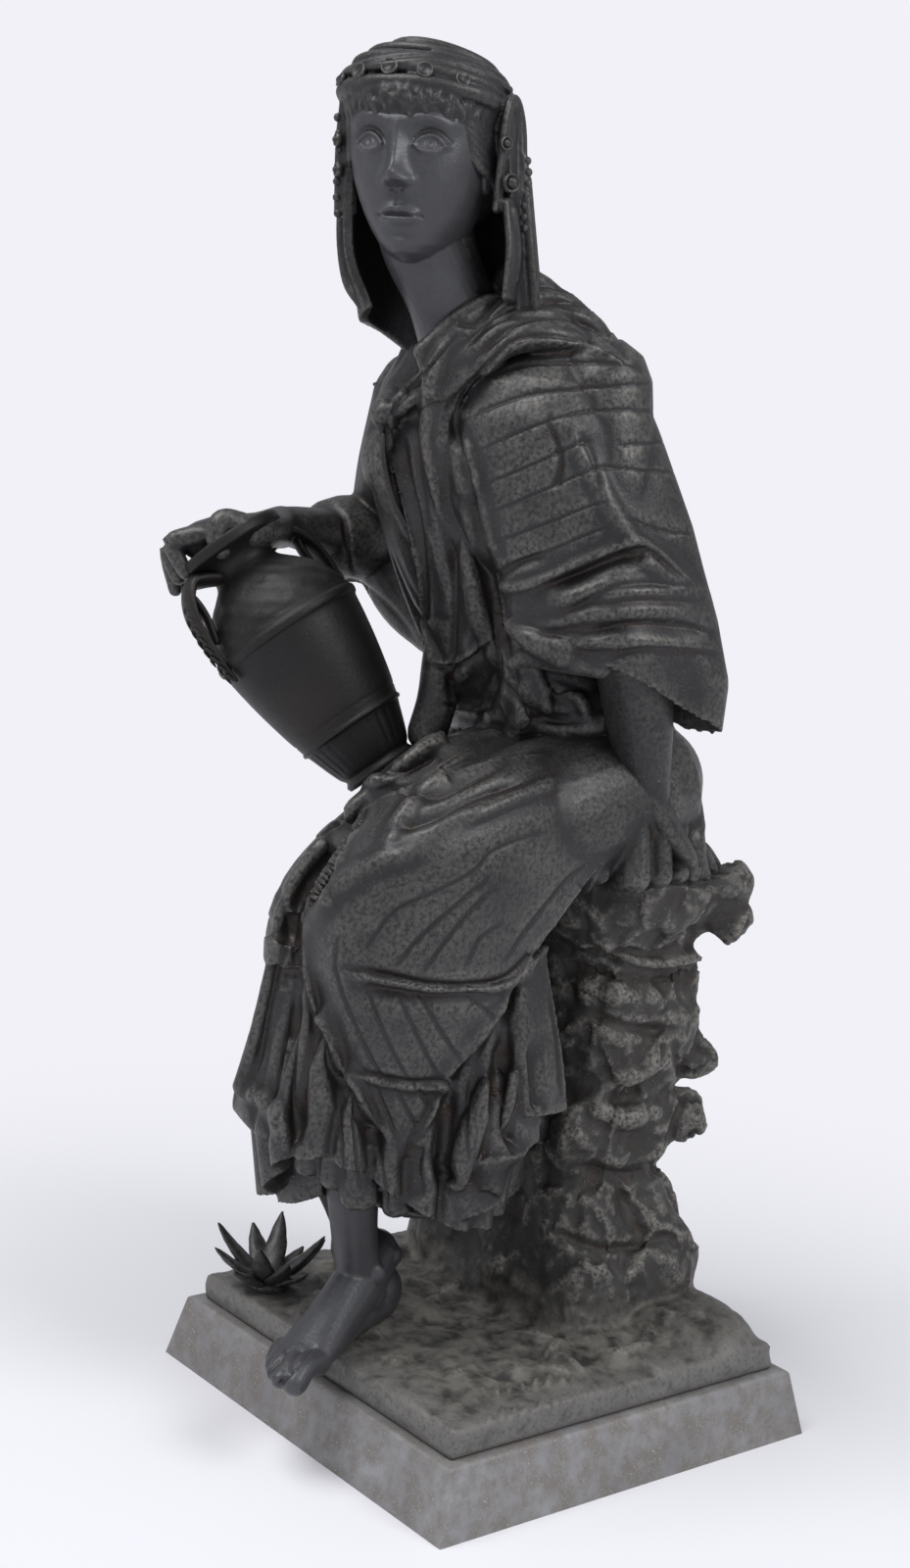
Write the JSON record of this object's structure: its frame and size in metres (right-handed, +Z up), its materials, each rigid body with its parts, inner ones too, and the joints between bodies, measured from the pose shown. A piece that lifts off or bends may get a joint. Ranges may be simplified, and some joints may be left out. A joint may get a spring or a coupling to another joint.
{
  "type": "figure statue",
  "caption": "Cast metal statue of a seated woman in a head cloth, wide-sleeved jacket and pleated skirt, steadying an open two-handled water jug, on a rock seat and a square plinth.",
  "frame": {"origin": "the middle of the plinth's underside, on the floor", "axes": "+Z up, -Y the front side of the plinth that the knees point to, +X to the right seen from the front"},
  "size_m": [0.3355, 0.3166, 0.7947],
  "materials": {
    "patinated_figure_metal": "satin, dark patina",
    "weathered_base_metal": "matte, weathered and pitted"
  },
  "bodies": {
    "root": {"woman": "patinated_figure_metal", "jug_bowl": "patinated_figure_metal", "jug_neck": "patinated_figure_metal", "jug_handle_near_thumb": "patinated_figure_metal", "jug_handle_outer": "patinated_figure_metal", "aloe_plant": "patinated_figure_metal", "ground_and_rock": "weathered_base_metal", "plinth": "weathered_base_metal"}
  },
  "joints": []
}
